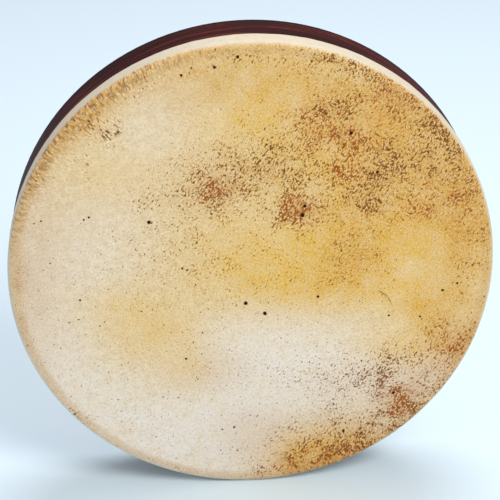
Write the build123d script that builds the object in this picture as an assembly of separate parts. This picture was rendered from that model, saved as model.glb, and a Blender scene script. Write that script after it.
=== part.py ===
from build123d import *
import math
import os

# A fixed-head frame drum: a goatskin glued over a shallow hoop that is open at the back.
# The drum is upright. Its axis lies along Y, the head faces -Y, and +Z is up.
# The origin is on the axis, halfway through the drum's depth.
# Angles round the hoop are seen from the front: 0 is +X, 90 is the top.

# Whole drum
DRUM_DIAMETER = 400.0
DRUM_DEPTH = 60.0

# Goatskin head, one piece of hide
SKIN = 0.8  # its thickness
SKIRT_DEPTH = 20.0  # how far it laps over the hoop's outside, from the head's face
GLUE = 0.2  # the hide-glue film between skirt and wood

# Laminated hoop: three bent strips, one inside the other
PLY = 2.0
CROWN_ROUND = 5.0  # the round-over that the skin is pulled across
EASED_EDGE = 1.2  # bevels where a hand would feel a corner
SEAM_SLANT = 30.0  # each strip's two ends meet in a slanting seam, glued to the strip below
SEAM_GAP = 0.1
OUTER_SEAM_ANGLE = 215.0
CORE_SEAM_ANGLE = 100.0
INNER_SEAM_ANGLE = 320.0

# Reinforcing rings, bent strips glued inside the hoop
RING = 5.0  # radial thickness
FRONT_RING_DEPTH = 18.0
REAR_RING_DEPTH = 8.0
CROWN_SLOPE = 30.0  # degrees that the front ring falls away from the skin
FRONT_RING_SEAM_ANGLE = 150.0
REAR_RING_SEAM_ANGLE = 60.0

# Thumb hole, drilled through the three strips
THUMB_HOLE_RADIUS = 13.0
THUMB_HOLE_ANGLE = 0.0
THUMB_HOLE_FROM_FACE = 36.0

# Brass pins that hold both ends of the outer strip down, in a row on each side of its seam
PIN_RADIUS = 0.6
PIN_HEAD_RADIUS = 1.4
PIN_HEAD = 0.5
PIN_LENGTH = 3.6  # below the head: through the outer strip and into the core
PINS_IN_ROW = 3
FIRST_PIN_FROM_FACE = 27.0
PIN_SPACING = 12.0
PIN_FROM_SEAM = 5.0

# How far a cutting shape reaches across the hoop's wall, well past both of its faces
CUT_REACH = 20.0

# Radii and places that follow
skin_outer = DRUM_DIAMETER / 2
glue_outer = skin_outer - SKIN
wood_outer = glue_outer - GLUE
core_outer = wood_outer - PLY
inner_outer = core_outer - PLY
hoop_inner = inner_outer - PLY
ring_inner = hoop_inner - RING
front = -DRUM_DEPTH / 2
rear = DRUM_DEPTH / 2
crown = front + SKIN
round_depth = crown + CROWN_ROUND
skirt_end = front + SKIRT_DEPTH


def turned(section):
    """Turn a flat section (x is the radius, y runs from front to back) about the drum's axis."""
    return revolve(section, axis=Axis.Y)


def band(inside, outside, start, end):
    """A flat rectangle between two radii and two depths."""
    middle = Pos((inside + outside) / 2, (start + end) / 2)
    return middle * Rectangle(outside - inside, end - start)


def round_over(side, radius):
    """A quarter circle that comes forward from a side at that radius and turns in over the crown."""
    return CenterArc((side - radius, round_depth), radius, 0, -90)


def drumhead():
    """The skin: flat over the crown, round its edge, then down the hoop's outside as the skirt."""
    under = round_over(glue_outer, CROWN_ROUND)
    over = round_over(skin_outer, CROWN_ROUND + SKIN)
    skirt = Polyline(
        under @ 0,
        (glue_outer, skirt_end),
        (skin_outer, skirt_end),
        over @ 0,
    )
    face = Polyline(
        over @ 1,
        (0, front),
        (0, crown),
        under @ 1,
    )
    return turned(make_face(skirt + over + face + under))


def at_hoop(radius, angle, depth):
    """A plane at a place on the hoop, its Z pointing outward and its X along the hoop."""
    turn = math.radians(angle)
    outward = (math.cos(turn), 0, math.sin(turn))
    along = (-math.sin(turn), 0, math.cos(turn))
    place = (radius * outward[0], depth, radius * outward[2])
    return Plane(origin=place, x_dir=along, z_dir=outward)


def seam_cut(radius, angle):
    """The thin slanting slit between a bent strip's two ends."""
    return at_hoop(radius, angle, 0) * Rot(0, 0, SEAM_SLANT) * Box(SEAM_GAP, 2 * DRUM_DEPTH, CUT_REACH)


def hoop_section():
    """The section through the three glued strips together."""
    arc = round_over(wood_outer, CROWN_ROUND)
    sides = Polyline(
        arc @ 1,
        (hoop_inner, crown),
        (hoop_inner, rear),
        (wood_outer, rear),
        arc @ 0,
    )
    section = make_face(arc + sides)
    rear_corner = section.vertices().sort_by(lambda v: v.X + v.Y)[-1]
    return chamfer(rear_corner, EASED_EDGE)


def bent_strip(inside, outside, seam_angle):
    """One strip of the laminated hoop, bent round until its ends meet."""
    slice_of_hoop = hoop_section() & band(inside, outside, front, rear)
    return turned(slice_of_hoop) - seam_cut(outside, seam_angle)


def front_ring():
    """The ring behind the crown. Its front slopes away, so that the skin rests on the hoop alone."""
    fall = RING * math.tan(math.radians(CROWN_SLOPE))
    outline = Polyline(
        (hoop_inner, crown),
        (hoop_inner, crown + FRONT_RING_DEPTH),
        (ring_inner, crown + FRONT_RING_DEPTH),
        (ring_inner, crown + fall),
        close=True,
    )
    section = make_face(outline)
    rear_corner = section.vertices().sort_by(lambda v: v.Y - v.X)[-1]
    section = chamfer(rear_corner, EASED_EDGE)
    return turned(section) - seam_cut(hoop_inner, FRONT_RING_SEAM_ANGLE)


def rear_ring():
    """The ring that thickens the open rear edge."""
    section = band(ring_inner, hoop_inner, rear - REAR_RING_DEPTH, rear)
    section = chamfer(section.vertices().sort_by(Axis.X)[:2], EASED_EDGE)
    return turned(section) - seam_cut(hoop_inner, REAR_RING_SEAM_ANGLE)


def thumb_hole():
    depth = front + THUMB_HOLE_FROM_FACE
    middle = at_hoop((hoop_inner + wood_outer) / 2, THUMB_HOLE_ANGLE, depth)
    return middle * Cylinder(THUMB_HOLE_RADIUS, CUT_REACH)


def pin(depth, side):
    """One round-headed pin beside the outer strip's seam, its head on the hoop's outside."""
    along = depth * math.tan(math.radians(SEAM_SLANT)) + side * PIN_FROM_SEAM
    angle = OUTER_SEAM_ANGLE + math.degrees(along / wood_outer)
    shank = Pos(0, 0, -PIN_LENGTH / 2) * Cylinder(PIN_RADIUS, PIN_LENGTH)
    head = Pos(0, 0, PIN_HEAD / 2) * Cylinder(PIN_HEAD_RADIUS, PIN_HEAD)
    head = chamfer(head.edges().sort_by(Axis.Z)[-1], 0.6 * PIN_HEAD)
    return at_hoop(wood_outer, angle, depth) * (shank + head)


pin_depths = [front + FIRST_PIN_FROM_FACE + i * PIN_SPACING for i in range(PINS_IN_ROW)]
pins = [pin(depth, side) for depth in pin_depths for side in (-1, 1)]

nodes = {
    "drumhead": drumhead(),
    "glue_band": turned(band(wood_outer, glue_outer, round_depth, skirt_end)),
    "hoop_outer_strip": bent_strip(core_outer, wood_outer, OUTER_SEAM_ANGLE),
    "hoop_core_strip": bent_strip(inner_outer, core_outer, CORE_SEAM_ANGLE),
    "hoop_inner_strip": bent_strip(hoop_inner, inner_outer, INNER_SEAM_ANGLE),
    "front_ring": front_ring(),
    "rear_ring": rear_ring(),
}
for strip in ("hoop_outer_strip", "hoop_core_strip", "hoop_inner_strip"):
    nodes[strip] -= thumb_hole()
for strip in ("hoop_outer_strip", "hoop_core_strip"):
    for each in pins:
        nodes[strip] -= each
nodes["seam_pins"] = Compound(children=pins)

os.makedirs("parts", exist_ok=True)
for name, shape in nodes.items():
    export_step(shape, f"parts/{name}.step")
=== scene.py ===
import bpy
import bmesh
import math
import numpy as np
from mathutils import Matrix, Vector, noise


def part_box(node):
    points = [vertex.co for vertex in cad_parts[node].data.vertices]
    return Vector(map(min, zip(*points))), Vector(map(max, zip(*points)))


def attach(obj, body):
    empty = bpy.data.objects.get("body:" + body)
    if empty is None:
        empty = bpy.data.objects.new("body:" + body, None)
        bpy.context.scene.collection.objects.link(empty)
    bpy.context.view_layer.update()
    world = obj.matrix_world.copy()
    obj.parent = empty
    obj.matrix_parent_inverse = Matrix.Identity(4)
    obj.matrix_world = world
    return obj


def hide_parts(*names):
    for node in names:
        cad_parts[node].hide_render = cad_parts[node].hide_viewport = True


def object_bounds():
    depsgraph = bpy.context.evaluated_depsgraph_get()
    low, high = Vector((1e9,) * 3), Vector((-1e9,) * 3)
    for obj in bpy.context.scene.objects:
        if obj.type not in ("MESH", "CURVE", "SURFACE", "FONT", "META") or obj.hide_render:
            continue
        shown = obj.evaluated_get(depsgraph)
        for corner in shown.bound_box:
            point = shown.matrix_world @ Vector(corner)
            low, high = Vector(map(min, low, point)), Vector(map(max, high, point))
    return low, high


# A frame drum standing upright, head to the front (-Y). Metres, in the CAD frame.
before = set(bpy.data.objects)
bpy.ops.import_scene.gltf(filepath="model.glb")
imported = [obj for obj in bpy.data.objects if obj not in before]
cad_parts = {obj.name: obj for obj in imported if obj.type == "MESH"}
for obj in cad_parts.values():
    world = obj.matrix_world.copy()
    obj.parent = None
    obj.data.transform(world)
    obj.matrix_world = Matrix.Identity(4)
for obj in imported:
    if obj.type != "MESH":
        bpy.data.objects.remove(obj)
cad_low, cad_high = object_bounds()

# ---------------------------------------------------------------- sizes, from the CAD frame
head_low, head_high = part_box("drumhead")
wood_low, wood_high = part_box("hoop_outer_strip")

MM = 0.001
RADIUS = (head_high.x - head_low.x) / 2
RADIUS_MM = RADIUS / MM
FRONT = head_low.y
SKIRT_END = head_high.y
WOOD_RADIUS = (wood_high.x - wood_low.x) / 2

# What no box shows, as in the CAD part
SKIN = 0.8 * MM
GLUE = 0.2 * MM
CROWN = 5.8 * MM  # radius of the skin's bend over the hoop's front edge

# Lengths along the hide, from its centre: to the bend, past the bend and to the skirt's edge
FLAT = RADIUS - CROWN
BEND_END = FLAT + CROWN * math.pi / 2
HIDE_REACH = BEND_END + SKIRT_END - FRONT - CROWN

# Seams of the bent strips: where their ends meet, in degrees seen from the front, and their slant
SEAM_SLANT = math.tan(math.radians(30))
SEAM_ANGLES = {
    "hoop_outer_strip": 215,
    "hoop_core_strip": 100,
    "hoop_inner_strip": 320,
    "front_ring": 150,
    "rear_ring": 60,
}


# ---------------------------------------------------------------- the hide's markings
# Each mark is (x, z, half width, half height, tilt in degrees, strength), placed in fractions of
# the head's radius as seen from the front.
AMBER = [
    (0.50, 0.38, 0.50, 0.34, 20, 0.80),
    (0.34, 0.06, 0.22, 0.17, 0, 0.80),
    (0.42, 0.10, 0.14, 0.12, 0, 0.60),
    (0.28, -0.04, 0.14, 0.06, 0, 0.50),
    (0.45, 0.58, 0.34, 0.16, -10, 0.60),
    (0.04, 0.70, 0.22, 0.18, 0, 0.55),
    (-0.10, 0.90, 0.40, 0.10, 0, 0.45),
    (0.30, 0.86, 0.26, 0.12, -10, 0.40),
    (0.60, 0.70, 0.20, 0.12, -42, 0.60),
    (0.80, 0.34, 0.16, 0.22, -30, 0.65),
    (0.90, 0.10, 0.10, 0.24, 0, 0.65),
    (0.75, 0.14, 0.12, 0.14, 0, 0.50),
    (0.04, 0.02, 0.18, 0.14, 0, 0.55),
    (-0.10, 0.08, 0.25, 0.20, 0, 0.35),
    (-0.42, -0.26, 0.17, 0.12, 15, 0.45),
    (-0.55, -0.12, 0.14, 0.10, 0, 0.35),
    (0.55, -0.08, 0.16, 0.07, 0, 0.35),
    (0.73, -0.16, 0.12, 0.10, 0, 0.80),
    (0.80, -0.32, 0.14, 0.09, 0, 0.60),
    (0.48, -0.33, 0.06, 0.05, 0, 0.20),
    (0.63, -0.38, 0.11, 0.07, 0, 0.45),
    (0.22, -0.88, 0.10, 0.10, 0, 0.60),
    (0.34, -0.84, 0.16, 0.10, 15, 0.70),
    (-0.64, 0.72, 0.16, 0.07, 42, 0.50),
    (-0.60, 0.48, 0.20, 0.12, 0, 0.25),
    (-0.28, -0.42, 0.10, 0.10, 0, 0.35),
    (-0.10, 0.44, 0.34, 0.12, 12, 0.35),
]
ORANGE = [
    (0.50, 0.42, 0.12, 0.13, -15, 0.60),
    (0.55, 0.62, 0.20, 0.12, -35, 0.50),
    (0.44, 0.72, 0.20, 0.10, -10, 0.45),
    (0.24, 0.64, 0.10, 0.10, 0, 0.45),
    (0.78, 0.28, 0.18, 0.12, 0, 0.60),
    (0.88, 0.38, 0.10, 0.20, 10, 0.45),
    (0.90, 0.10, 0.08, 0.20, 0, 0.35),
    (0.42, 0.09, 0.11, 0.10, 0, 0.55),
    (0.36, -0.02, 0.14, 0.08, 0, 0.30),
    (0.38, 0.25, 0.14, 0.10, 0, 0.30),
    (0.74, -0.18, 0.08, 0.08, 0, 0.45),
    (0.84, -0.34, 0.10, 0.08, 0, 0.45),
    (0.28, -0.90, 0.18, 0.09, 10, 0.75),
    (0.42, -0.85, 0.10, 0.07, 24, 0.50),
    (-0.66, 0.72, 0.16, 0.05, 42, 0.35),
]
BROWN = [
    (0.51, 0.43, 0.07, 0.07, 0, 0.35),
    (0.46, 0.32, 0.05, 0.05, 0, 0.20),
    (0.38, 0.60, 0.07, 0.05, 0, 0.30),
    (0.30, 0.70, 0.12, 0.04, 5, 0.15),
    (-0.15, 0.39, 0.10, 0.06, 15, 0.30),
    (0.06, 0.47, 0.12, 0.07, 0, 0.25),
    (0.20, 0.29, 0.05, 0.05, 0, 0.45),
    (0.74, 0.50, 0.12, 0.12, -30, 0.35),
    (0.57, 0.76, 0.08, 0.05, -35, 0.35),
    (0.66, 0.66, 0.10, 0.04, -45, 0.20),
    (-0.66, 0.72, 0.14, 0.04, 44, 0.30),
    (0.88, -0.36, 0.08, 0.08, 0, 0.45),
    (0.64, -0.64, 0.09, 0.08, -40, 0.55),
    (0.72, -0.58, 0.20, 0.07, 40, 0.22),
    (0.26, -0.94, 0.13, 0.04, 8, 0.35),
    (0.46, -0.84, 0.16, 0.06, 24, 0.20),
    (0.30, -0.76, 0.16, 0.06, 0, 0.12),
    (-0.95, 0.04, 0.03, 0.12, 0, 0.25),
    (-0.20, 0.84, 0.30, 0.10, 8, 0.22),
    (0.25, 0.84, 0.30, 0.10, -8, 0.12),
    (0.85, 0.05, 0.10, 0.30, 0, 0.15),
    (-0.85, 0.10, 0.12, 0.50, 0, 0.12),
]
PALE = [
    (0.14, -0.43, 0.34, 0.17, -8, 0.85),
    (-0.02, -0.26, 0.16, 0.10, 0, 0.45),
    (0.20, -0.24, 0.24, 0.08, 0, 0.30),
    (-0.30, -0.78, 0.44, 0.24, 0, 0.85),
    (0.10, -0.62, 0.34, 0.12, 0, 0.55),
    (-0.84, -0.35, 0.20, 0.24, 0, 0.55),
    (-0.70, -0.55, 0.20, 0.16, 0, 0.45),
    (-0.68, 0.05, 0.22, 0.18, 0, 0.40),
    (-0.42, 0.60, 0.14, 0.22, 0, 0.30),
    (-0.55, 0.30, 0.20, 0.12, 0, 0.25),
    (0.60, -0.02, 0.10, 0.06, 0, 0.35),
    (0.50, -0.50, 0.20, 0.10, 0, 0.45),
    (0.62, -0.44, 0.12, 0.08, 0, 0.30),
    (-0.15, 0.62, 0.14, 0.10, 0, 0.15),
    (0.02, 0.28, 0.07, 0.07, 0, 0.25),
    (-0.05, -0.92, 0.14, 0.08, 0, 0.40),
]
BLUSH = [
    (-0.18, -0.44, 0.14, 0.08, 0, 0.45),
    (0.00, -0.76, 0.12, 0.12, 0, 0.45),
    (0.45, -0.54, 0.20, 0.08, 0, 0.40),
    (0.66, -0.50, 0.16, 0.10, 0, 0.50),
    (0.30, -0.72, 0.30, 0.08, 0, 0.40),
    (0.56, -0.74, 0.22, 0.08, 35, 0.60),
    (0.78, -0.50, 0.16, 0.10, 0, 0.50),
    (0.72, 0.55, 0.12, 0.10, 0, 0.30),
    (-0.75, 0.32, 0.20, 0.16, 0, 0.15),
    (-0.10, 0.45, 0.28, 0.10, 12, 0.30),
    (-0.92, 0.00, 0.08, 0.50, 0, 0.40),
]
# Where the pores crowd
SPECKLED = [
    (-0.14, 0.44, 0.30, 0.13, 14, 0.50),
    (-0.15, 0.39, 0.11, 0.08, 10, 0.6),
    (0.06, 0.50, 0.13, 0.09, 0, 0.45),
    (0.24, 0.62, 0.10, 0.10, 0, 0.6),
    (0.38, 0.60, 0.07, 0.05, 0, 0.9),
    (0.33, 0.71, 0.14, 0.04, 6, 0.6),
    (0.38, 0.46, 0.06, 0.05, 0, 0.7),
    (0.49, 0.42, 0.11, 0.12, -20, 0.75),
    (0.46, 0.31, 0.07, 0.05, 0, 0.6),
    (0.20, 0.29, 0.09, 0.07, 0, 0.8),
    (0.20, 0.29, 0.07, 0.05, 0, 0.6),
    (0.11, 0.26, 0.06, 0.05, 0, 0.5),
    (0.22, 0.40, 0.10, 0.06, 0, 0.45),
    (0.70, 0.50, 0.14, 0.16, 0, 0.55),
    (0.80, 0.57, 0.08, 0.06, 0, 0.5),
    (0.72, 0.29, 0.12, 0.06, 0, 0.55),
    (0.88, 0.36, 0.08, 0.20, 15, 0.4),
    (0.44, 0.88, 0.26, 0.09, -22, 0.75),
    (0.66, 0.72, 0.14, 0.08, -45, 0.5),
    (-0.05, 0.93, 0.20, 0.05, 0, 0.25),
    (-0.30, 0.90, 0.14, 0.08, 20, 0.25),
    (-0.64, 0.60, 0.12, 0.07, 44, 0.34),
    (-0.52, 0.72, 0.12, 0.07, 40, 0.22),
    (-0.58, 0.66, 0.08, 0.06, 0, 0.22),
    (0.42, 0.10, 0.08, 0.12, 0, 0.35),
    (0.10, 0.05, 0.40, 0.20, 0, 0.15),
    (-0.30, 0.10, 0.20, 0.20, 0, 0.18),
    (0.45, -0.50, 0.14, 0.07, 12, 0.5),
    (0.28, -0.48, 0.16, 0.07, 0, 0.35),
    (0.60, -0.60, 0.07, 0.13, 10, 0.80),
    (0.72, -0.36, 0.20, 0.10, 10, 0.14),
    (0.50, -0.66, 0.20, 0.12, 0, 0.20),
    (0.30, -0.86, 0.18, 0.08, 0, 0.30),
    (0.70, -0.68, 0.16, 0.06, 40, 0.55),
    (0.80, -0.55, 0.10, 0.05, 20, 0.6),
    (0.84, -0.34, 0.10, 0.10, 0, 0.55),
    (0.72, -0.40, 0.12, 0.06, 0, 0.4),
    (0.28, -0.93, 0.18, 0.08, 6, 0.7),
    (0.44, -0.86, 0.12, 0.07, 24, 0.5),
    (0.36, -0.76, 0.24, 0.09, 8, 0.45),
    (0.04, -0.95, 0.06, 0.05, 0, 0.5),
    (-0.78, -0.62, 0.06, 0.12, 45, 0.5),
    (-0.10, -0.44, 0.14, 0.06, 0, 0.2),
    (0.92, 0.00, 0.08, 0.12, 0, 0.3),
]
# Where crowded pores took up a rusty stain
RUST = [
    (0.20, 0.29, 0.09, 0.07, 0, 1.0),
    (0.38, 0.60, 0.08, 0.06, 0, 0.8),
    (0.38, 0.46, 0.07, 0.06, 0, 0.8),
    (-0.15, 0.39, 0.12, 0.08, 15, 0.5),
    (-0.16, 0.58, 0.09, 0.03, 35, 0.8),
    (0.57, 0.76, 0.10, 0.06, -35, 0.8),
    (0.72, 0.29, 0.14, 0.08, 0, 0.7),
    (0.62, -0.62, 0.08, 0.08, -40, 0.5),
    (0.30, -0.93, 0.24, 0.08, 10, 0.6),
    (0.24, 0.62, 0.10, 0.10, 0, 0.5),
    (-0.66, 0.70, 0.16, 0.07, 44, 0.4),
    (0.86, -0.34, 0.10, 0.08, 0, 0.8),
]
# Where the hide was drawn tight over the rim, and its pores into streaks
STREAKED = [
    (-0.71, 0.69, 0.26, 0.10, 44, 1.0),
    (-0.46, 0.87, 0.22, 0.08, 27, 1.0),
    (-0.90, 0.42, 0.20, 0.08, 66, 1.0),
    (-0.66, 0.52, 0.26, 0.16, 48, 0.8),
    (0.34, -0.92, 0.26, 0.05, 14, 0.6),
    (-0.78, -0.62, 0.16, 0.06, -45, 0.8),
]
# A band of gold-brown dashes just inside the rim, where the streaks took up stain
DASHED = [
    (-0.74, 0.68, 0.16, 0.045, 43, 1.0),
    (-0.56, 0.82, 0.16, 0.04, 34, 1.0),
    (-0.86, 0.50, 0.14, 0.04, 58, 0.8),
    (-0.95, 0.30, 0.14, 0.03, 72, 0.6),
    (-0.36, 0.93, 0.14, 0.03, 20, 0.7),
]
HAIR_LAY = 55  # the way that the hair lay, in degrees from +X towards the top
# Dark scabs and bite marks: (x, z, half width in mm)
SPOTS = [
    (-0.06, 0.94, 1.1), (-0.15, 0.90, 1.2), (-0.28, 0.87, 0.8), (-0.24, 0.90, 0.7),
    (-0.42, 0.25, 1.3), (-0.66, 0.28, 0.8), (-0.68, 0.27, 0.7), (-0.85, 0.27, 0.7),
    (-0.88, 0.26, 0.6), (-0.17, 0.28, 0.7), (0.66, 0.71, 0.9), (-0.71, -0.09, 0.8),
    (-0.72, -0.18, 0.6), (-0.46, -0.15, 0.6), (-0.28, -0.38, 1.0), (-0.03, -0.13, 1.5),
    (0.05, -0.18, 1.4), (-0.27, 0.03, 0.8), (-0.29, 0.04, 0.7), (-0.21, -0.26, 0.6),
    (-0.38, -0.56, 0.6), (-0.08, -0.72, 0.8), (-0.13, -0.73, 0.7), (0.85, -0.07, 0.8),
    (0.79, -0.10, 1.0), (0.70, -0.22, 0.8), (0.57, -0.21, 0.8), (0.46, -0.42, 0.7),
    (0.39, -0.76, 1.0), (0.27, -0.11, 1.0), (0.91, 0.01, 0.8), (0.20, 0.26, 1.6),
    (0.21, 0.30, 1.2), (0.39, 0.61, 1.3), (0.50, 0.44, 1.1), (0.60, -0.58, 1.2),
]
# A hair-thin healed scratch, as the places that it passes
SCRATCH = [(0.52, -0.09), (0.56, -0.12), (0.58, -0.16)]


# ---------------------------------------------------------------- mesh helpers
def piece(name, vertices, faces, material):
    """A new smooth mesh that rides on the drum, in the given material."""
    mesh = bpy.data.meshes.new(name)
    mesh.from_pydata(vertices, [], faces)
    shape = bmesh.new()
    shape.from_mesh(mesh)
    bmesh.ops.recalc_face_normals(shape, faces=shape.faces)
    shape.to_mesh(mesh)
    shape.free()
    mesh.shade_smooth()
    mesh.materials.append(material)
    made = bpy.data.objects.new(name, mesh)
    bpy.context.scene.collection.objects.link(made)
    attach(made, "root")
    return made


def rows_to_faces(rows, sectors, closed):
    """Quads between rings of points; closed joins the last ring to the first."""
    faces = []
    for row in range(rows if closed else rows - 1):
        here, there = row * sectors, (row + 1) % rows * sectors
        for k in range(sectors):
            after = (k + 1) % sectors
            faces.append((here + k, here + after, there + after, there + k))
    return faces


def around(radius, depth, angle):
    """A place at that radius, depth and angle about the drum's axis."""
    return radius * np.cos(angle), depth, radius * np.sin(angle)


def ripple(x, y, z):
    """Smooth noise from -1 to 1 at a place, the same on every run."""
    return noise.noise(Vector((x, y, z)))


# ---------------------------------------------------------------- the goatskin head
# The skirt's cut edge is eased: near its end, between these two distances from it, it thins
EASE_START = 0.4 * MM
EASE_STOP = 0.1 * MM
EASE_DROP = 0.25 * MM
FIRST_RING = 3.0 * MM  # radius of the smallest ring of points, round the head's centre
FACE_RINGS = 64
BEND_RINGS = 8
SKIRT_RINGS = 6
MARK_FALL = 0.7  # a mark has about half its strength left at its stated half width


def hide_profile(reach):
    """Where a point of the hide lies, as (radius, depth, outward radial, outward depth)."""
    if reach <= FLAT:
        return reach, FRONT, 0.0, -1.0
    if reach <= BEND_END:
        turn = (reach - FLAT) / CROWN
        radius = FLAT + CROWN * math.sin(turn)
        return radius, FRONT + CROWN * (1 - math.cos(turn)), math.sin(turn), -math.cos(turn)
    return RADIUS, FRONT + CROWN + reach - BEND_END, 1.0, 0.0


def soft_marks(marks, x, z):
    """How strongly a list of marks colours each place, from 0 to 1."""
    clear = np.ones_like(x)
    for mark_x, mark_z, wide, high, tilt, strength in marks:
        turn = math.radians(tilt)
        along = (x - mark_x) * math.cos(turn) + (z - mark_z) * math.sin(turn)
        across = (z - mark_z) * math.cos(turn) - (x - mark_x) * math.sin(turn)
        squared = (along / wide) ** 2 + (across / high) ** 2
        clear *= 1 - strength * np.exp(-MARK_FALL * squared)
    return 1 - clear


def skirt_share(reach):
    """0 on the head and its bend, rising to 1 at the skirt's edge."""
    return max(0.0, reach - BEND_END) / (HIDE_REACH - BEND_END)


def surface_lift(u, w, reach):
    """How far the outer face rises over its even shape: faint waves, and puckers on the skirt."""
    waves = 0.10 * MM * ripple(reach * u * 30, reach * w * 30, 3.0)
    beyond = skirt_share(reach)
    return waves + 0.30 * MM * beyond * abs(ripple(55 * u, 55 * w, beyond * 0.8 + 4.0))


def hide_point(reach, angle, inner):
    """A point of the hide's outer or inner face, its skirt trimmed by hand and so a little wavy."""
    u, w = math.cos(angle), math.sin(angle)
    radius, depth, out_radial, out_depth = hide_profile(reach)
    lift = -SKIN if inner else surface_lift(u, w, reach)
    if reach == HIDE_REACH - EASE_STOP:
        lift -= EASE_DROP
    trim = 0.55 * MM * ripple(9 * u, 9 * w, 1.0) + 0.25 * MM * ripple(40 * u, 40 * w, 2.0)
    depth += lift * out_depth + trim * skirt_share(reach) ** 2
    return around(radius + lift * out_radial, depth, angle)


def make_head(material):
    """The hide as a closed sheet: rings of points out over its face, then back inside it."""
    sectors = 360
    angles = np.arange(sectors) * 2 * math.pi / sectors
    membrane = list(np.linspace(FIRST_RING, FLAT, FACE_RINGS))
    bend = list(np.linspace(FLAT, BEND_END, BEND_RINGS + 1)[1:])
    skirt = list(np.linspace(BEND_END, HIDE_REACH - EASE_START, SKIRT_RINGS + 1)[1:])
    outside = membrane + bend + skirt + [HIDE_REACH - EASE_STOP]
    inside = [HIDE_REACH] + skirt[::-1] + bend[::-1] + membrane[::-1]
    rings = [(reach, 0) for reach in outside] + [(reach, 1) for reach in inside]
    vertices, reach_at, flesh = [], [], []
    for reach, inner in rings:
        for angle in angles:
            vertices.append(hide_point(reach, angle, inner))
            reach_at.append((reach * math.cos(angle), reach * math.sin(angle)))
            flesh.append(float(inner))
    faces = rows_to_faces(len(rings), sectors, closed=False)
    for inner, first in ((0, 0), (1, (len(rings) - 1) * sectors)):
        centre = len(vertices)
        vertices.append((0.0, FRONT + SKIN * inner, 0.0))
        reach_at.append((0.0, 0.0))
        flesh.append(float(inner))
        for k in range(sectors):
            faces.append((first + k, first + (k + 1) % sectors, centre))
    head = piece("goatskin_head", vertices, faces, material)
    paint_head(head.data, np.array(reach_at), flesh)
    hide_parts("drumhead")


def paint_head(mesh, hide, flesh):
    """Store the hide's flat coordinates, its flesh side and its markings for the material."""
    flat = mesh.attributes.new("hide", "FLOAT_VECTOR", "POINT")
    flat.data.foreach_set("vector", np.c_[hide, np.zeros(len(hide))].ravel())
    mesh.attributes.new("flesh", "FLOAT", "POINT").data.foreach_set("value", flesh)
    x, z = hide[:, 0] / RADIUS, hide[:, 1] / RADIUS
    maps = {
        "amber": AMBER,
        "orange": ORANGE,
        "brown": BROWN,
        "pale": PALE,
        "blush": BLUSH,
        "speckled": SPECKLED,
        "rust": RUST,
        "streaked": STREAKED,
        "dashed": DASHED,
    }
    for name, marks in maps.items():
        shade = mesh.attributes.new(name, "FLOAT", "POINT")
        shade.data.foreach_set("value", soft_marks(marks, x, z))


# ---------------------------------------------------------------- material helpers
def srgb(red, green, blue):
    """A colour given as 0 to 255 sRGB, as the linear values that a shader takes."""
    linear = []
    for part in (red, green, blue):
        share = part / 255
        linear.append(share / 12.92 if share <= 0.04045 else ((share + 0.055) / 1.055) ** 2.4)
    return (*linear, 1.0)


class Shader:
    """A material whose nodes are added by short calls that return the new node's output."""

    def __init__(self, name):
        self.material = bpy.data.materials.new(name)
        self.material.use_nodes = True
        self.tree = self.material.node_tree
        self.surface = self.tree.nodes["Principled BSDF"]

    def feed(self, socket, value):
        """Link an output to a socket, or set the socket's own value."""
        if isinstance(value, bpy.types.NodeSocket):
            self.tree.links.new(value, socket)
        else:
            socket.default_value = value

    def node(self, kind, **settings):
        made = self.tree.nodes.new("ShaderNode" + kind)
        for name, value in settings.items():
            setattr(made, name, value)
        return made

    def set(self, name, value):
        self.feed(self.surface.inputs[name], value)

    def stored(self, name, output="Fac"):
        """What the mesh stores under that name."""
        return self.node("Attribute", attribute_name=name).outputs[output]

    def math(self, operation, *values, clamp=False):
        made = self.node("Math", operation=operation, use_clamp=clamp)
        for socket, value in zip(made.inputs, values):
            self.feed(socket, value)
        return made.outputs[0]

    def times(self, *values):
        product = values[0]
        for value in values[1:]:
            product = self.math("MULTIPLY", product, value)
        return product

    def vector(self, operation, *values, scale=None):
        made = self.node("VectorMath", operation=operation)
        for socket, value in zip(made.inputs, values):
            self.feed(socket, value)
        if scale is not None:
            self.feed(made.inputs["Scale"], scale)
        scalar = operation in ("LENGTH", "DISTANCE", "DOT_PRODUCT")
        return made.outputs["Value" if scalar else "Vector"]

    def split(self, vector):
        """The three parts of a vector."""
        made = self.node("SeparateXYZ")
        self.feed(made.inputs[0], vector)
        return made.outputs

    def object_mm(self):
        """The place in the piece's own coordinates, in millimetres."""
        return self.vector("SCALE", self.node("TexCoord").outputs["Object"], scale=1 / MM)

    def join(self, x, y, z):
        made = self.node("CombineXYZ")
        for socket, value in zip(made.inputs, (x, y, z)):
            self.feed(socket, value)
        return made.outputs[0]

    def noise(self, place, size, detail, rough=0.55, output="Fac"):
        """Cloudy noise whose blobs are about size across."""
        made = self.node("TexNoise")
        self.feed(made.inputs["Vector"], place)
        made.inputs["Scale"].default_value = 1 / size
        made.inputs["Detail"].default_value = detail
        made.inputs["Roughness"].default_value = rough
        return made.outputs[output]

    def step(self, value, low, high, to_low=0.0, to_high=1.0):
        """A smooth ramp from low to high."""
        made = self.node("MapRange", interpolation_type="SMOOTHSTEP")
        for socket, given in zip(made.inputs, (value, low, high, to_low, to_high)):
            self.feed(socket, given)
        return made.outputs[0]

    def mix(self, share, one, other):
        """A colour that goes from one to the other as share goes from 0 to 1."""
        made = self.node("Mix", data_type="RGBA", clamp_factor=True)
        for index, value in ((0, share), (6, one), (7, other)):
            self.feed(made.inputs[index], value)
        return made.outputs[2]

    def bump(self, height, depth, strength, under=None):
        made = self.node("Bump")
        made.inputs["Distance"].default_value = depth
        made.inputs["Strength"].default_value = strength
        self.feed(made.inputs["Height"], height)
        if under is not None:
            self.feed(made.inputs["Normal"], under)
        return made.outputs[0]


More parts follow.
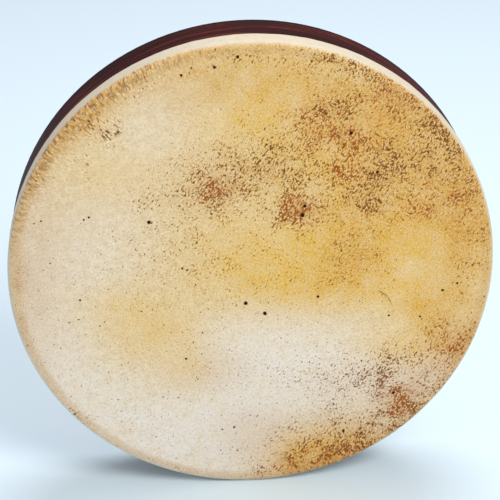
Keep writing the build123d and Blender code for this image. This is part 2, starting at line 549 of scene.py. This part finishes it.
# ---------------------------------------------------------------- goatskin
class Hide(Shader):
    """The goatskin's material. Its noises and marks lie on the hide laid flat, in millimetres."""

    def __init__(self):
        super().__init__("goatskin")
        self.place = self.vector("SCALE", self.stored("hide", "Vector"), scale=1 / MM)
        self.reach = self.vector("LENGTH", self.place)
        x, z, _ = self.split(self.place)
        self.round_rim = self.times(self.math("ARCTAN2", z, x), RADIUS_MM)
        self.clouds = self.noise(self.place, 20, 5, 0.6)
        self.blotches = self.noise(self.place, 7, 4, 0.6)
        self.mottle = self.noise(self.place, 2.6, 3, 0.6)
        self.streaked = self.ragged("streaked", 0.6)
        self.dashed = self.ragged("dashed", 0.5)
        self.combed = self.comb()
        self.drawn = self.draw_out(0.30)
        self.crowd = self.crowding()
        self.grain = self.pores(0.95, 2.0)
        self.coarse_pores = self.pores(1.75, 1.0)
        fine = self.specks(self.pores(1.05, 1.0), 0.755, 0.520)
        coarse = self.specks(self.coarse_pores, 0.715, 0.520)
        self.marks = self.math("MAXIMUM", coarse, self.times(fine, 0.90))
        blotched = self.step(self.blotches, 0.35, 0.65)
        self.colour = self.mix(blotched, srgb(214, 190, 148), srgb(228, 211, 175))

    def tint(self, share, colour):
        """Lay a colour over the hide's own."""
        self.colour = self.mix(share, self.colour, colour)

    def ragged(self, name, spread):
        """A stored marking with cloudy, broken edges."""
        wave = self.math("MULTIPLY_ADD", self.clouds, 2.6 * spread, 1 - 1.3 * spread)
        wave = self.math("MULTIPLY_ADD", self.blotches, 1.6 * spread, wave)
        wave = self.math("SUBTRACT", wave, 0.8 * spread)
        wave = self.math("MAXIMUM", wave, 0.0)
        return self.math("MULTIPLY", self.stored(name), wave, clamp=True)

    def crowding(self):
        """How thickly the pores stand."""
        clumps = self.noise(self.place, 11, 3, 0.65)
        clumps = self.step(clumps, 0.34, 0.58, 0.55, 1.20)
        thin_everywhere = self.times(self.step(self.clouds, 0.44, 0.68), 0.20)
        crowd = self.math("MULTIPLY_ADD", self.ragged("speckled", 0.8), clumps, thin_everywhere)
        return self.math("MINIMUM", crowd, 1.15)

    def comb(self):
        """Coordinates that draw a noise out the way that the hair lay."""
        lay = math.radians(HAIR_LAY)
        along = self.vector("DOT_PRODUCT", self.place, (math.cos(lay), math.sin(lay), 0.0))
        across = self.vector("DOT_PRODUCT", self.place, (-math.sin(lay), math.cos(lay), 0.0))
        return self.join(self.times(along, 0.66), across, 0.0)

    def draw_out(self, share):
        """Coordinates that draw a noise out across the rim, the more the smaller the share."""
        return self.join(self.round_rim, self.times(self.reach, share), 0.0)

    def pores(self, size, detail):
        """Noise whose highest peaks are the pores: combed, but drawn across a streaked rim."""
        plain = self.math("SUBTRACT", 1.0, self.streaked)
        combed = self.times(self.noise(self.combed, size, detail, 0.5), plain)
        drawn = self.noise(self.drawn, size, detail, 0.5)
        return self.math("MULTIPLY_ADD", drawn, self.streaked, combed)

    def specks(self, peaks, rare, common):
        """The peaks over a level, which falls from rare to common as the pores crowd."""
        level = self.math("MULTIPLY_ADD", self.crowd, common - rare, rare)
        return self.step(self.math("SUBTRACT", peaks, level), -0.005, 0.035)


def broad_markings(hide):
    """The areas of colour, each laid over the ones before it."""
    hide.tint(hide.ragged("pale", 0.7), srgb(231, 225, 217))
    hide.tint(hide.ragged("blush", 0.9), srgb(210, 189, 168))
    hide.tint(hide.ragged("amber", 0.8), srgb(222, 178, 70))
    hide.tint(hide.ragged("orange", 1.0), srgb(206, 148, 42))
    hide.tint(hide.ragged("brown", 1.1), srgb(178, 122, 62))


def rim(hide):
    """A broken brown line just inside the bend, painted shade where the hide turns over the hoop's
    front edge, and the band of dashes at the upper left.
    """
    # painted shade: a broken brown line that stands in for the shade on the hide's bend over the
    # hoop's edge
    line = hide.times(
        hide.step(hide.reach, 0.935 * RADIUS_MM, 0.965 * RADIUS_MM),
        hide.step(hide.reach, 1.000 * RADIUS_MM, 0.975 * RADIUS_MM),
        hide.math("MULTIPLY_ADD", hide.clouds, 1.6, -0.15),
    )
    hide.tint(hide.times(line, 0.60), srgb(184, 138, 62))
    hide.tint(hide.times(hide.dashed, 0.75), srgb(208, 162, 80))
    dashes = hide.step(hide.noise(hide.draw_out(0.38), 3.0, 1.5, 0.5), 0.47, 0.58)
    hide.tint(hide.times(hide.dashed, dashes, 0.85), srgb(124, 78, 26))


def fine_grain(hide):
    """A warmer ground where the pores crowd, a faint veil between them, and fine creases."""
    hide.tint(hide.times(hide.crowd, 0.10), srgb(204, 150, 66))
    veil = hide.math("MULTIPLY_ADD", hide.crowd, 0.26, 0.10)
    veil = hide.math("MULTIPLY_ADD", hide.ragged("orange", 0.8), 0.22, veil)
    hide.tint(hide.times(hide.step(hide.mottle, 0.56, 0.38), veil), srgb(150, 106, 52))
    creases = hide.math("MULTIPLY_ADD", hide.streaked, 0.14, 0.32)
    hide.tint(hide.times(hide.step(hide.grain, 0.48, 0.66), creases), srgb(244, 232, 204))
    hide.tint(hide.times(hide.step(hide.grain, 0.46, 0.30), creases), srgb(170, 128, 78))


def dots(hide):
    """The pores themselves, rusty in places, with bleached flecks between them."""
    flecks = hide.times(hide.crowd, hide.step(hide.coarse_pores, 0.50, 0.36))
    hide.tint(hide.times(flecks, 0.45), srgb(244, 226, 178))
    stain = hide.times(hide.crowd, hide.ragged("rust", 0.6), hide.step(hide.mottle, 0.40, 0.62))
    hide.tint(hide.times(stain, 0.40), srgb(190, 124, 50))
    rusty = hide.math("MULTIPLY_ADD", hide.ragged("rust", 0.5), 0.30, hide.mottle)
    dot = hide.mix(hide.step(rusty, 0.52, 0.68), srgb(108, 60, 14), srgb(150, 76, 16))
    hide.tint(hide.times(hide.marks, 0.92), dot)


def scabs(hide):
    """The dark spots and the scratch."""
    wobble = hide.noise(hide.place, 1.6, 2, output="Color")
    wobble = hide.vector("SCALE", hide.vector("SUBTRACT", wobble, (0.5, 0.5, 0.5)), scale=2.2)
    place = hide.vector("ADD", hide.place, wobble)
    nearest = None
    for x, z, wide in SPOTS:
        away = hide.vector("DISTANCE", place, (x * RADIUS_MM, z * RADIUS_MM, 0.0))
        away = hide.math("DIVIDE", away, wide)
        nearest = away if nearest is None else hide.math("MINIMUM", nearest, away)
    spots = hide.step(nearest, 1.5, 0.9)
    line = 0.0
    passes = [(x * RADIUS_MM, z * RADIUS_MM, 0.0) for x, z in SCRATCH]
    for start, end in zip(passes, passes[1:]):
        from_start = hide.vector("DISTANCE", place, start)
        from_end = hide.vector("DISTANCE", place, end)
        detour = hide.math("ADD", from_start, from_end)
        detour = hide.math("SUBTRACT", detour, math.dist(start, end))
        line = hide.math("MAXIMUM", line, hide.step(detour, 0.12, 0.02))
    hide.tint(hide.math("MAXIMUM", spots, hide.times(line, 0.6)), srgb(50, 14, 6))


def skirt_and_flesh(hide):
    """The lapped skirt is bleached and thinly coated, its cut edge pale hide with a painted
    highlight; the flesh side is smoother and yellower.
    """
    turn = hide.math("MULTIPLY_ADD", hide.dashed, -0.014 * RADIUS_MM, hide.reach)
    skirt = hide.step(turn, 0.985 * RADIUS_MM, 1.004 * RADIUS_MM)
    bleached = hide.mix(hide.blotches, srgb(198, 190, 172), srgb(220, 213, 195))
    hide.tint(hide.times(skirt, 0.90), bleached)
    # the cut edge: partly the pale cut hide, partly a painted highlight where the edge catches the
    # light
    edge = hide.step(hide.reach, HIDE_REACH / MM - 0.6, HIDE_REACH / MM - 0.1)
    hide.tint(hide.times(edge, 0.7), srgb(240, 214, 186))
    hide.tint(hide.stored("flesh"), hide.mix(0.5, hide.colour, srgb(206, 180, 136)))


def goatskin():
    hide = Hide()
    broad_markings(hide)
    rim(hide)
    fine_grain(hide)
    dots(hide)
    scabs(hide)
    skirt_and_flesh(hide)
    hide.set("Base Color", hide.colour)

    rough = hide.math("MULTIPLY_ADD", hide.blotches, 0.20, 0.42)
    rough = hide.math("MULTIPLY_ADD", hide.marks, 0.12, rough)
    rough = hide.math("MULTIPLY_ADD", hide.stored("flesh"), 0.15, rough)
    hide.set("Roughness", rough)
    hide.set("Specular IOR Level", 0.09)

    height = hide.math("MULTIPLY_ADD", hide.coarse_pores, -0.8, hide.times(hide.grain, 0.5))
    height = hide.math("MULTIPLY_ADD", hide.marks, -0.3, height)
    broad = hide.bump(hide.clouds, 0.6 * MM, 0.35)
    hide.set("Normal", hide.bump(height, 0.12 * MM, 0.8, under=broad))
    return hide.material


# ---------------------------------------------------------------- wood
def bent_wood(name, dark, light, streak, rough, worn, rear_darkening):
    """Stained wood with its grain running round the hoop from one side of its seam to the other."""
    wood = Shader(name.replace("_", " "))
    x, y, z = wood.split(wood.object_mm())
    radius = wood.math("SQRT", wood.math("ADD", wood.times(x, x), wood.times(z, z)))
    angle = wood.math("ARCTAN2", z, x)
    angle = wood.math("SUBTRACT", angle, math.radians(SEAM_ANGLES[name]))
    angle = wood.math("SUBTRACT", angle, wood.times(y, SEAM_SLANT * MM / WOOD_RADIUS))
    angle = wood.math("FLOORED_MODULO", angle, 2 * math.pi)
    along = wood.times(angle, WOOD_RADIUS / MM)
    layer = wood.times(radius, 1.6)

    def grain(side, lengthways, crossways, detail, broken=0.55):
        """Noise with that many waves per millimetre along the strip and to its side."""
        place = wood.join(wood.times(along, lengthways), wood.times(side, crossways), layer)
        return wood.noise(place, 1.0, detail, broken)

    wander = grain(y, 0.012, 0.05, 2)
    across = wood.math("MULTIPLY_ADD", wander, 9.0, y)
    broad = grain(across, 0.008, 0.24, 3)
    figure = grain(across, 0.014, 0.75, 4)
    fine = grain(across, 0.05, 3.2, 3, 0.7)
    pores = wood.step(grain(across, 0.12, 5.5, 2, 0.6), 0.60, 0.72)
    scuff = grain(y, 0.12, 0.5, 4, 0.7)

    colour = wood.mix(wood.step(figure, 0.32, 0.68), dark, light)
    colour = wood.mix(wood.step(broad, 0.50, 0.72, 0.0, 0.65), colour, streak)
    colour = wood.mix(wood.step(fine, 0.45, 0.20, 0.0, 0.55), colour, dark)
    colour = wood.mix(wood.times(pores, 0.55), colour, srgb(18, 9, 8))

    # darker towards the rear edge, and hands and tables rubbed its corner
    rear = wood_high.y / MM
    darker_rear = wood.times(wood.step(y, rear - 9, rear - 1), rear_darkening)
    colour = wood.mix(darker_rear, colour, srgb(8, 2, 4))
    corner = wood.step(y, rear - 1.6, rear - 0.4)
    rubbed = wood.times(corner, wood.step(scuff, 0.48, 0.70), worn)
    colour = wood.mix(rubbed, colour, srgb(128, 84, 58))
    wood.set("Base Color", colour)

    shine = wood.math("MULTIPLY_ADD", figure, 0.16, rough)
    shine = wood.math("MULTIPLY_ADD", pores, 0.25, shine)
    wood.set("Roughness", shine)
    wood.set("Specular IOR Level", 0.05)
    height = wood.math("MULTIPLY_ADD", pores, -0.8, wood.times(fine, 0.5))
    wood.set("Normal", wood.bump(height, 0.10 * MM, 0.7))
    return wood.material


def dress_wood():
    """Give each bent strip and ring its own wood."""
    darker_rear = dict(
        dark=srgb(16, 3, 5),
        light=srgb(66, 18, 20),
        streak=srgb(132, 58, 46),
        rough=0.46,
        worn=0.12,
        rear_darkening=0.75,
    )
    inner = dict(
        dark=srgb(74, 42, 28),
        light=srgb(124, 78, 50),
        streak=srgb(146, 98, 62),
        rough=0.48,
        worn=0.5,
        rear_darkening=0.0,
    )
    for name in SEAM_ANGLES:
        look = darker_rear if name == "hoop_outer_strip" else inner
        give(name, bent_wood(name, **look))


def give(name, material):
    """Put a material on a CAD node, in every slot that it has."""
    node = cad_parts[name]
    if not node.data.materials:
        node.data.materials.append(material)
    for slot in node.material_slots:
        slot.material = material


# ---------------------------------------------------------------- pins and glue
def brass():
    metal = Shader("tarnished brass")
    tarnish = metal.noise(metal.object_mm(), 0.8, 4, 0.65)
    colour = metal.mix(metal.step(tarnish, 0.38, 0.65), srgb(186, 144, 78), srgb(92, 66, 40))
    metal.set("Base Color", colour)
    metal.set("Metallic", 1.0)
    metal.set("Roughness", metal.math("MULTIPLY_ADD", tarnish, 0.35, 0.22))
    metal.set("Normal", metal.bump(tarnish, 0.03 * MM, 0.5))
    return metal.material


def hide_glue():
    glue = Shader("hide glue")
    streaks = glue.noise(glue.object_mm(), 2.5, 3)
    glue.set("Base Color", glue.mix(streaks, srgb(74, 40, 18), srgb(140, 90, 40)))
    glue.set("Roughness", glue.math("MULTIPLY_ADD", streaks, 0.3, 0.12))
    glue.set("Normal", glue.bump(streaks, 0.05 * MM, 0.5))
    return glue.material


def bead_section(swell):
    """The film and its bead, as (height over the wood, depth) points from the film's front."""
    width = (0.25 + 0.75 * swell) * MM
    proud = (0.16 + 0.22 * swell) * MM
    return [
        (0.0, FRONT + CROWN),
        (GLUE, FRONT + CROWN),
        (GLUE, SKIRT_END - 0.8 * MM),
        (GLUE + 0.6 * proud, SKIRT_END + 0.2 * MM),
        (proud, SKIRT_END + 0.6 * width),
        (0.4 * proud, SKIRT_END + 0.95 * width),
        (-0.02 * MM, SKIRT_END + 1.1 * width),
    ]


def make_glue(material):
    """The glue film under the skirt, with the thin bead that squeezed out along its edge."""
    sectors = 720
    sections = []
    for angle in np.arange(sectors) * 2 * math.pi / sectors:
        u, w = math.cos(angle), math.sin(angle)
        swell = 0.35 + 0.9 * ripple(26 * u, 26 * w, 7.0) + 0.5 * ripple(90 * u, 90 * w, 8.0)
        section = bead_section(max(0.0, swell))
        sections.append([around(WOOD_RADIUS + over, depth, angle) for over, depth in section])
    sides = len(sections[0])
    vertices = [section[side] for side in range(sides) for section in sections]
    faces = rows_to_faces(sides, sectors, closed=True)
    bead = piece("glue_bead", vertices, faces, material)
    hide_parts("glue_band")


# ---------------------------------------------------------------- floor, lights and camera
def make_floor():
    paper = Shader("pale floor")
    paper.set("Base Color", srgb(220, 240, 253))
    paper.set("Roughness", 0.9)
    mesh = bpy.data.meshes.new("floor")
    reach = 12.0
    corners = [(-reach, -reach), (reach, -reach), (reach, reach), (-reach, reach)]
    mesh.from_pydata([(x, y, cad_low.z) for x, y in corners], [], [(0, 1, 2, 3)])
    mesh.materials.append(paper.material)
    floor = bpy.data.objects.new("floor", mesh)
    bpy.context.scene.collection.objects.link(floor)


def soft_light(name, place, size, watts, colour):
    """A round lamp that faces the drum's middle."""
    lamp = bpy.data.lights.new(name, "AREA")
    lamp.shape = "DISK"
    lamp.size = size
    lamp.energy = watts
    lamp.color = colour
    holder = bpy.data.objects.new(name, lamp)
    bpy.context.scene.collection.objects.link(holder)
    holder.location = place
    holder.rotation_mode = "QUATERNION"
    holder.rotation_quaternion = Vector(place).to_track_quat("Z", "Y")


def light_scene():
    world = bpy.data.worlds.new("studio")
    world.use_nodes = True
    glow = world.node_tree.nodes["Background"]
    glow.inputs["Color"].default_value = srgb(242, 238, 240)
    glow.inputs["Strength"].default_value = 0.50
    bpy.context.scene.world = world
    soft_light("key", (1.0, -1.5, 1.7), 1.2, 36, (1.0, 0.95, 0.89))
    soft_light("fill", (-1.6, -1.6, 0.8), 1.6, 7, (1.0, 0.98, 0.96))
    soft_light("top", (0.3, 0.9, 2.3), 1.8, 34, (1.0, 1.0, 1.0))
    bpy.context.scene.view_settings.view_transform = "Standard"


def make_camera():
    """Above and a little left of the head's axis, looking down at it with a long lens."""
    raised = math.radians(25.1)
    left = math.radians(4.4)
    distance = 7.175 * RADIUS
    slide_right, slide_up = -0.0123 * RADIUS, 0.1015 * RADIUS
    back = Vector((
        -math.sin(left) * math.cos(raised),
        -math.cos(left) * math.cos(raised),
        math.sin(raised),
    ))
    right = Vector((math.cos(left), -math.sin(left), 0.0))
    up = back.cross(right)
    lens = bpy.data.cameras.new("camera")
    lens.sensor_width = 36.0
    lens.lens = 126.0
    camera = bpy.data.objects.new("camera", lens)
    bpy.context.scene.collection.objects.link(camera)
    camera.location = Vector((0, FRONT, 0)) + back * distance + right * slide_right + up * slide_up
    camera.rotation_mode = "QUATERNION"
    camera.rotation_quaternion = back.to_track_quat("Z", "Y")
    bpy.context.scene.camera = camera


# ---------------------------------------------------------------- build
make_head(goatskin())
make_glue(hide_glue())
dress_wood()
give("seam_pins", brass())
make_floor()
light_scene()
make_camera()
